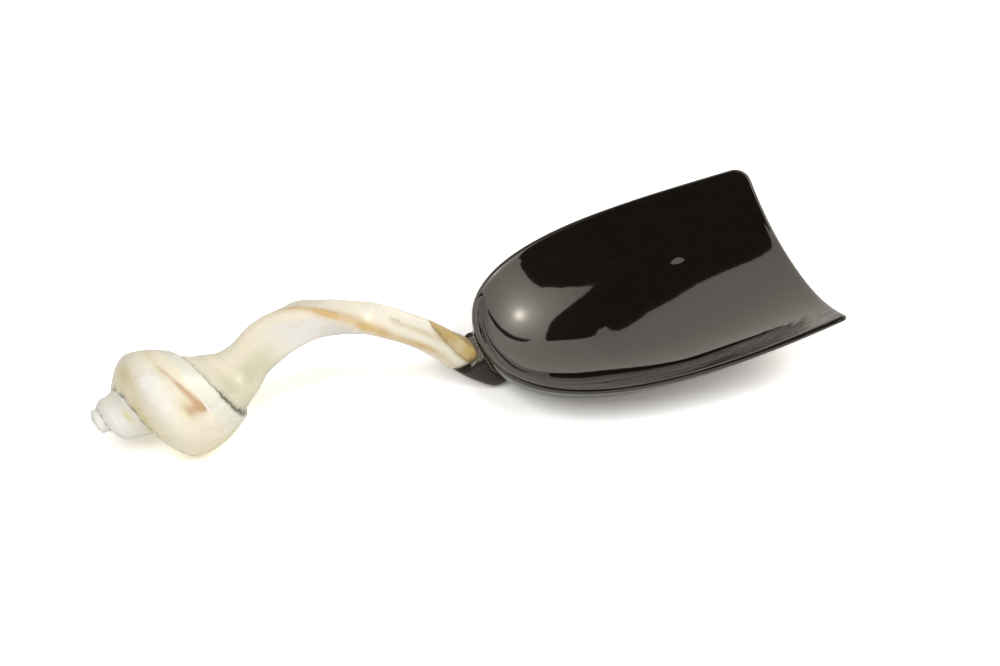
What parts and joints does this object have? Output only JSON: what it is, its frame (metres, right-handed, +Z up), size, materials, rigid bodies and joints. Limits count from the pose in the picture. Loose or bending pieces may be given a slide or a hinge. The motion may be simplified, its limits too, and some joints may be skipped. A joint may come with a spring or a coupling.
{
  "type": "horn rice spoon",
  "caption": "Serving spoon: a broad open scoop of glossy black horn glued to an arched, twisting handle cut from a sea-snail shell that keeps its coiled spire as the knob.",
  "frame": {"origin": "on the table, under the middle of the spoon's overall length and width", "axes": "+X from the shell's spire to the scoop's lip, +Y to the far side of the picture, +Z up"},
  "size_m": [0.2464, 0.0962, 0.0483],
  "materials": {
    "polished_horn": "black horn, heat-pressed and polished to a high gloss",
    "filed_horn": "brown-black horn, filed and rubbed to a satin",
    "polished_shell": "cream shell, ground back and polished, pearly in places",
    "clear_glue": "clear set glue, wet-looking",
    "pin_steel": "drawn steel wire, hidden in the joint"
  },
  "bodies": {
    "root": {"scoop_bowl": "polished_horn", "handle_cradle": "filed_horn", "shell_handle": "polished_shell", "glue_bead": "clear_glue", "cradle_glue_bed": "clear_glue", "strap_glue_bed": "clear_glue", "strap_pin": "pin_steel"}
  },
  "joints": []
}
